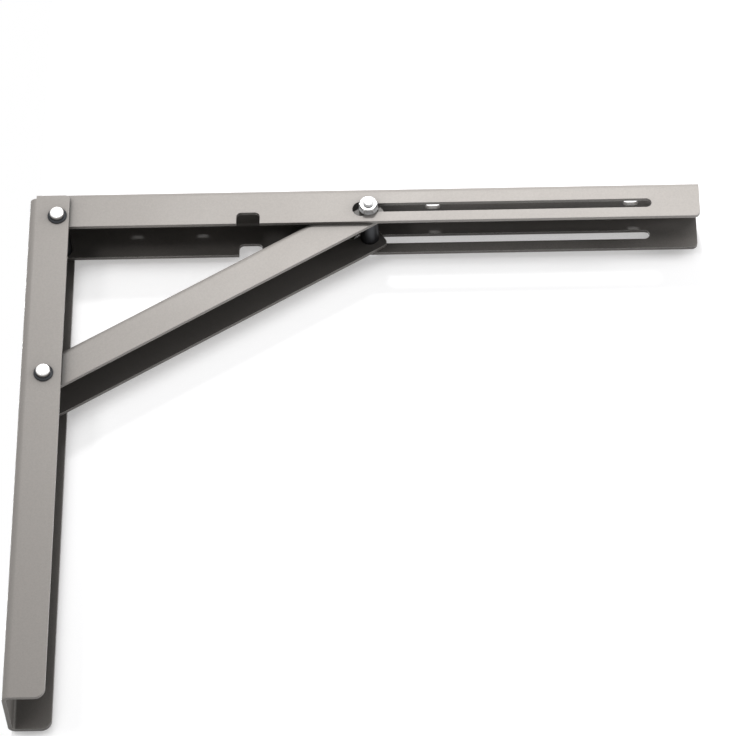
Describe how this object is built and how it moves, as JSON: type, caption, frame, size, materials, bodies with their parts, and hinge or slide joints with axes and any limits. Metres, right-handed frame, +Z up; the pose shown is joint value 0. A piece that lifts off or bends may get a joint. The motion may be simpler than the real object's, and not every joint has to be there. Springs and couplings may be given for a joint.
{
  "type": "folding shelf bracket",
  "caption": "Wall bracket of nested folded-steel channels; a slotted shelf arm on a hinged strut holds a shelf level and folds down flat against the wall.",
  "frame": {"origin": "on the wall face, mid-width, level with the shelf arm's rivet", "axes": "+X out from the wall along the open shelf arm, +Y across the channels, +Z up as installed"},
  "size_m": [0.4, 0.049, 0.3416],
  "materials": {
    "painted_sheet": "warm grey satin powder coat, slightly pearly",
    "nickel_rivet": "bright nickel plate on the formed rivet heads",
    "zinc_hardware": "bright zinc plate on the bolt, nut, washers, sleeves and spacers"
  },
  "bodies": {
    "wall_body": {"wall_channel": "painted_sheet", "arm_pivot_rivet": "nickel_rivet", "strut_pivot_rivet": "nickel_rivet", "arm_pivot_washer_near": "zinc_hardware", "arm_pivot_washer_far": "zinc_hardware", "strut_pivot_washer_near": "zinc_hardware", "strut_pivot_washer_far": "zinc_hardware", "strut_spacer_near": "zinc_hardware", "strut_spacer_far": "zinc_hardware"},
    "arm_body": {"shelf_arm": "painted_sheet", "arm_pivot_sleeve": "zinc_hardware"},
    "strut_body": {"strut": "painted_sheet", "strut_pivot_sleeve": "zinc_hardware", "strut_end_sleeve": "zinc_hardware", "strut_end_pin": "zinc_hardware"},
    "bolt_body": {"slide_washer_near": "zinc_hardware", "slide_washer_far": "zinc_hardware", "slide_nut": "zinc_hardware", "slide_bolt_end": "zinc_hardware", "slide_bolt_head": "zinc_hardware"}
  },
  "joints": [
    {"name": "arm_fold", "type": "hinge", "parent": "wall_body", "child": "arm_body", "pos_m": [0.017, 0, 0], "axis": [0, 1, 0], "range_deg": [0, 90]},
    {"name": "strut_fold", "type": "hinge", "parent": "wall_body", "child": "strut_body", "pos_m": [0.0138, 0, -0.1113], "axis": [0, 1, 0], "range_deg": [0, 119.6]},
    {"name": "bolt_slide", "type": "slide", "parent": "arm_body", "child": "bolt_body", "axis": [1, 0, 0], "range_m": [0, 0.1467]}
  ],
  "couplings": [
    {"joint": "strut_fold", "follows": "arm_fold", "ratio": 1.3283},
    {"joint": "bolt_slide", "follows": "arm_fold", "m_per_rad": 0.093357}
  ]
}
